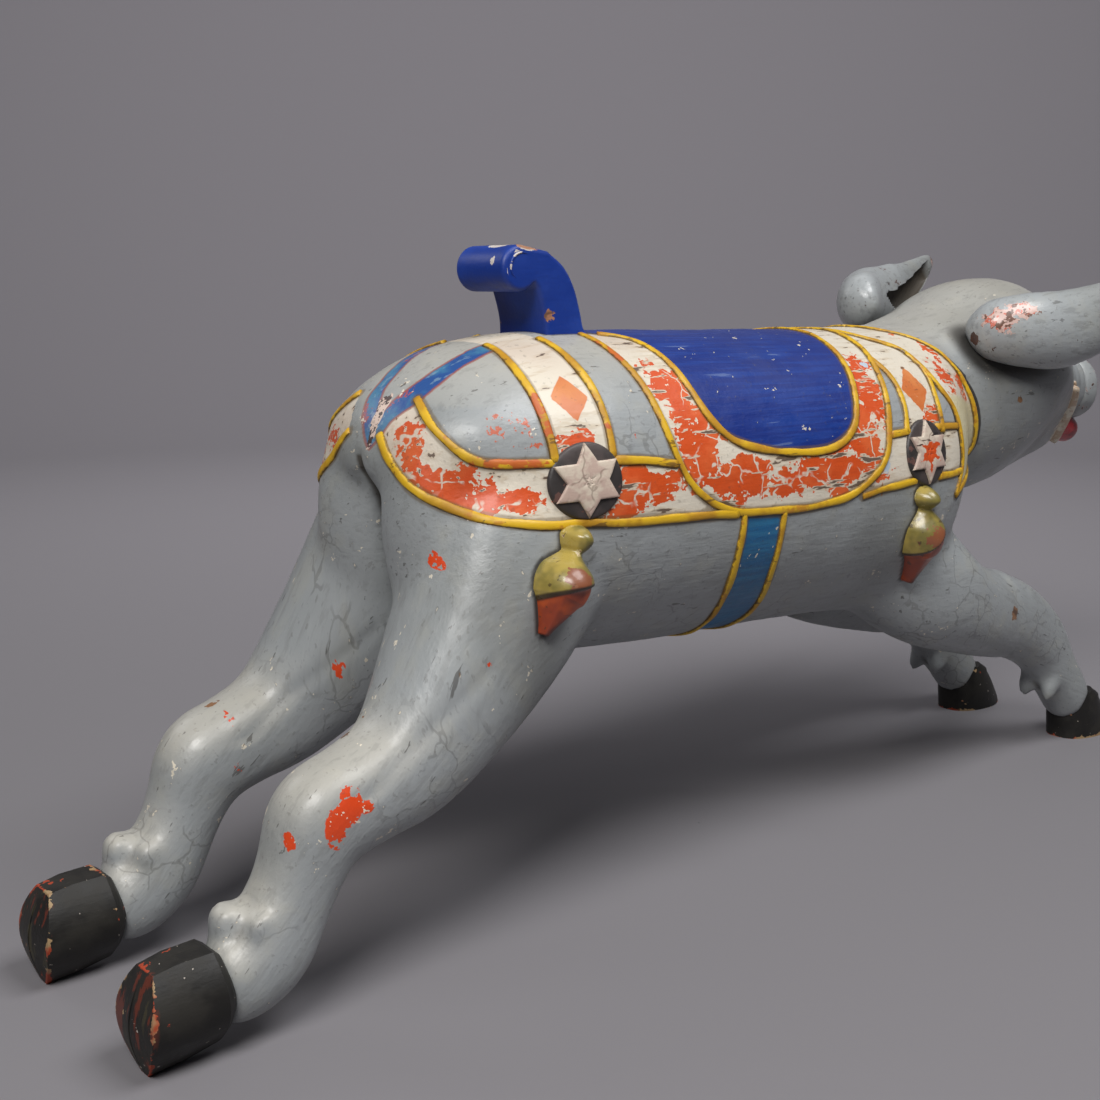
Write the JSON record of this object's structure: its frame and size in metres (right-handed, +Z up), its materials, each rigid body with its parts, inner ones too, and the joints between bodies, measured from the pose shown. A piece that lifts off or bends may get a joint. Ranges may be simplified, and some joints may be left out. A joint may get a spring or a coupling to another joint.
{
  "type": "carousel_pig",
  "caption": "Carved and painted wooden carousel pig at a gallop, with saddle, rolled cantle, rosettes and tassels, standing on its four hooves",
  "frame": {"origin": "On the ground, under the middle of the figure's length and width", "axes": "+X forward, the way the pig gallops and looks; +Y to its left side; +Z up"},
  "size_m": [1.4796, 0.3936, 0.6515],
  "materials": {
    "grey_paint": "glossy",
    "blue_paint": "satin",
    "gold_paint": "satin"
  },
  "bodies": {
    "root": {"pig": "grey_paint", "ear_left": "grey_paint", "ear_right": "grey_paint", "cantle": "blue_paint", "tassel_front_left": "gold_paint", "tassel_front_right": "gold_paint", "tassel_rear_left": "gold_paint", "tassel_rear_right": "gold_paint"}
  },
  "joints": []
}
